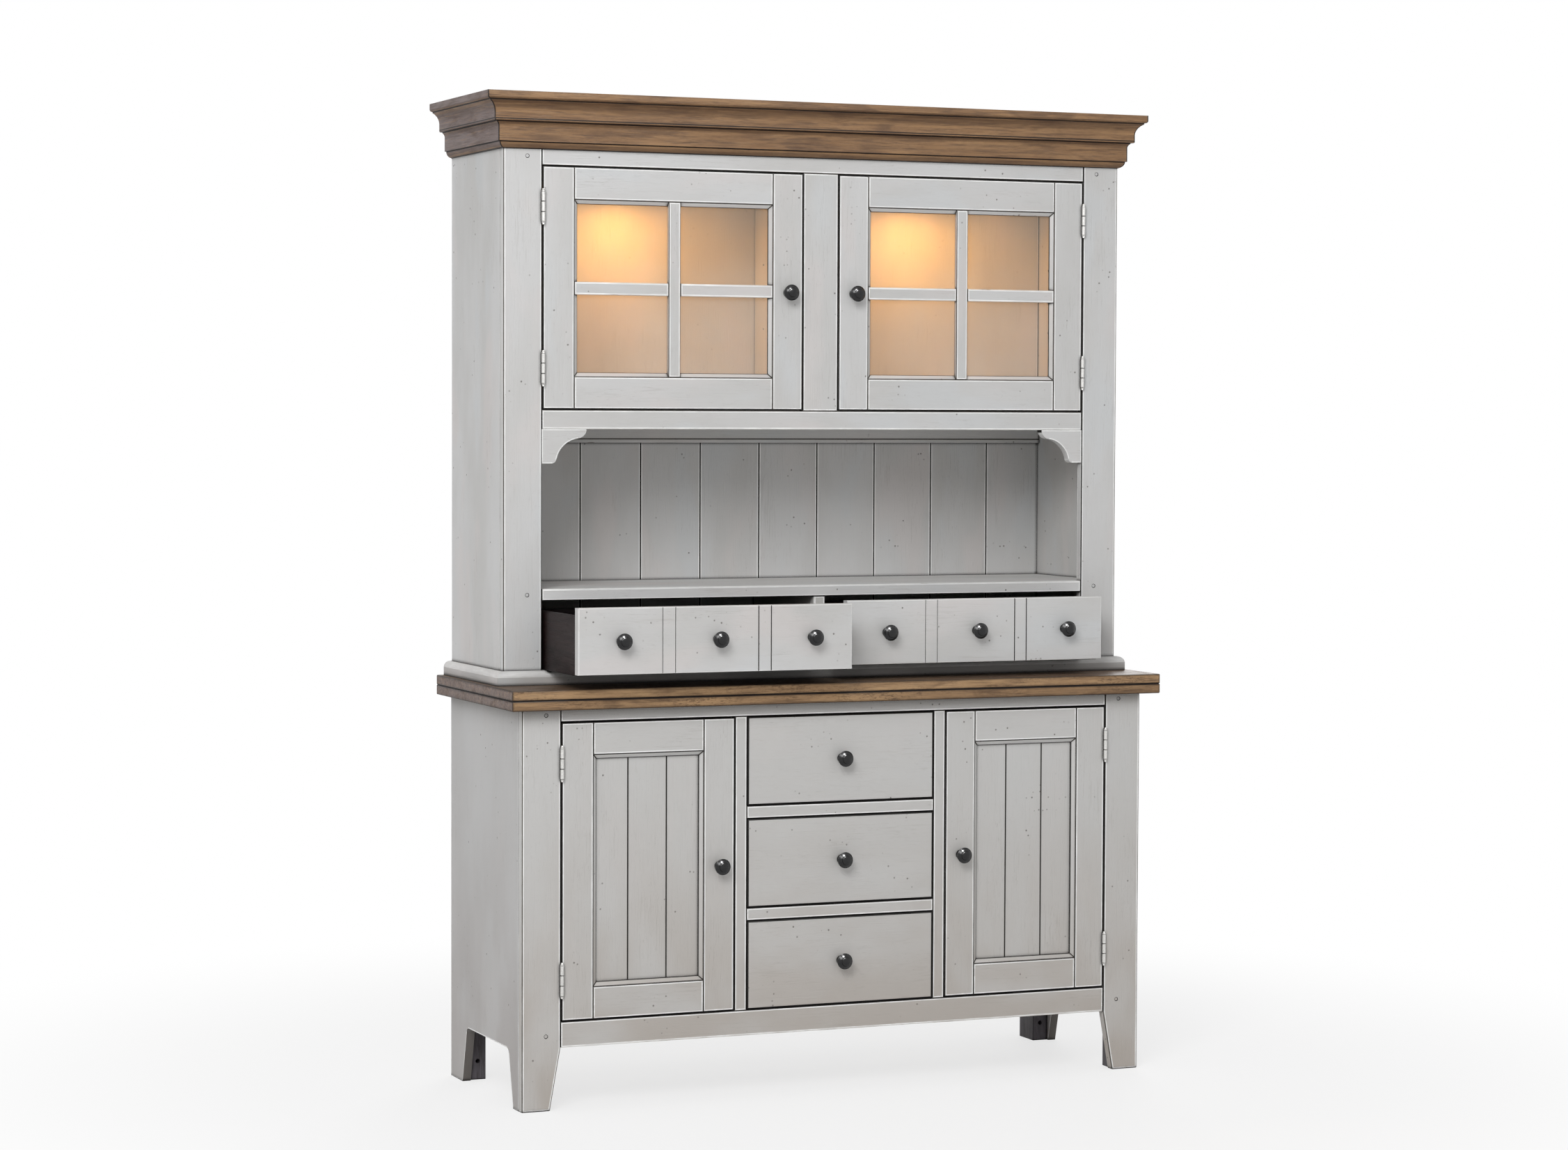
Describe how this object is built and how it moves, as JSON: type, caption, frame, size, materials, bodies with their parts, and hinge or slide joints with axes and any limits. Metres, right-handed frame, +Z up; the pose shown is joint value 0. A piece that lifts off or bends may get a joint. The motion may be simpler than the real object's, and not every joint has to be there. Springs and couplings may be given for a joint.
{
  "type": "dresser with hutch",
  "caption": "Dresser with a hutch: panelled doors and deep drawers below a counter, glazed cupboard doors, an open niche and shallow drawers above, under a crown moulding.",
  "frame": {"origin": "on the floor, on the centre line, at mid depth of the whole outline with the hutch drawers as stored", "axes": "+X to the right seen from the front, +Y to the back, +Z up"},
  "size_m": [1.518, 0.596, 2.083],
  "materials": {
    "painted_wood": "distressed pale grey paint over wood, worn dark at the edges",
    "stained_wood": "nutmeg brown stain, satin lacquer",
    "dark_wood": "dark brown stain, matte",
    "plain_wood": "brown stain, matte",
    "back_board": "thin grey paint, matte",
    "knob_metal": "dark gunmetal, satin",
    "hinge_metal": "aged pewter",
    "clear_glass": "clear, polished",
    "light_plastic": "white housing with a frosted lens",
    "catch_plastic": "brown moulded plastic"
  },
  "bodies": {
    "case": {"back_batten": "painted_wood", "back_panels": "back_board", "base_face_frame": "painted_wood", "base_floor": "painted_wood", "base_posts": "painted_wood", "base_shelves": "painted_wood", "base_sides": "painted_wood", "beadboard_back": "painted_wood", "case_hinge_leaves": "hinge_metal", "corbels": "painted_wood", "cornice": "stained_wood", "counter_top": "stained_wood", "counter_underboard": "stained_wood", "door_catches": "catch_plastic", "drawer_runners": "plain_wood", "foot_moulding": "painted_wood", "glass_shelves": "clear_glass", "hutch_boards": "painted_wood", "hutch_face_frame": "painted_wood", "hutch_posts": "painted_wood", "hutch_sides": "painted_wood", "leg_blocks": "dark_wood", "niche_shelf": "painted_wood", "partitions": "painted_wood", "pegs": "painted_wood", "puck_lights": "light_plastic", "shelf_pins": "hinge_metal"},
    "base_door_left": {"base_door_left_frame": "painted_wood", "base_door_left_hinge_leaves": "hinge_metal", "base_door_left_knob": "knob_metal", "base_door_left_panel": "painted_wood"},
    "base_door_right": {"base_door_right_frame": "painted_wood", "base_door_right_hinge_leaves": "hinge_metal", "base_door_right_knob": "knob_metal", "base_door_right_panel": "painted_wood"},
    "hutch_door_left": {"hutch_door_left_frame": "painted_wood", "hutch_door_left_glass": "clear_glass", "hutch_door_left_hinge_leaves": "hinge_metal", "hutch_door_left_knob": "knob_metal"},
    "hutch_door_right": {"hutch_door_right_frame": "painted_wood", "hutch_door_right_glass": "clear_glass", "hutch_door_right_hinge_leaves": "hinge_metal", "hutch_door_right_knob": "knob_metal"},
    "base_drawer_bottom": {"base_drawer_bottom_box": "plain_wood", "base_drawer_bottom_face": "painted_wood", "base_drawer_bottom_knob": "knob_metal"},
    "base_drawer_middle": {"base_drawer_middle_box": "plain_wood", "base_drawer_middle_face": "painted_wood", "base_drawer_middle_knob": "knob_metal"},
    "base_drawer_top": {"base_drawer_top_box": "plain_wood", "base_drawer_top_face": "painted_wood", "base_drawer_top_knob": "knob_metal"},
    "hutch_drawer_left": {"hutch_drawer_left_box": "dark_wood", "hutch_drawer_left_face": "painted_wood", "hutch_drawer_left_knobs": "knob_metal"},
    "hutch_drawer_right": {"hutch_drawer_right_box": "dark_wood", "hutch_drawer_right_face": "painted_wood", "hutch_drawer_right_knobs": "knob_metal"}
  },
  "joints": [
    {"name": "base_door_left_swing", "type": "hinge", "parent": "case", "child": "base_door_left", "pos_m": [-0.62475, -0.1794, 0.49], "axis": [0, 0, -1], "range_deg": [0, 110]},
    {"name": "base_door_right_swing", "type": "hinge", "parent": "case", "child": "base_door_right", "pos_m": [0.62475, -0.1794, 0.49], "axis": [0, 0, 1], "range_deg": [0, 110]},
    {"name": "hutch_door_left_swing", "type": "hinge", "parent": "case", "child": "hutch_door_left", "pos_m": [-0.62475, -0.0594, 1.68575], "axis": [0, 0, -1], "range_deg": [0, 110]},
    {"name": "hutch_door_right_swing", "type": "hinge", "parent": "case", "child": "hutch_door_right", "pos_m": [0.62475, -0.0594, 1.68575], "axis": [0, 0, 1], "range_deg": [0, 110]},
    {"name": "base_drawer_bottom_pull", "type": "slide", "parent": "case", "child": "base_drawer_bottom", "axis": [0, -1, 0], "range_m": [0, 0.33]},
    {"name": "base_drawer_middle_pull", "type": "slide", "parent": "case", "child": "base_drawer_middle", "axis": [0, -1, 0], "range_m": [0, 0.33]},
    {"name": "base_drawer_top_pull", "type": "slide", "parent": "case", "child": "base_drawer_top", "axis": [0, -1, 0], "range_m": [0, 0.33]},
    {"name": "hutch_drawer_left_pull", "type": "slide", "parent": "case", "child": "hutch_drawer_left", "axis": [0, -1, 0], "range_m": [-0.211, 0.04]},
    {"name": "hutch_drawer_right_pull", "type": "slide", "parent": "case", "child": "hutch_drawer_right", "axis": [0, -1, 0], "range_m": [-0.108, 0.143]}
  ]
}
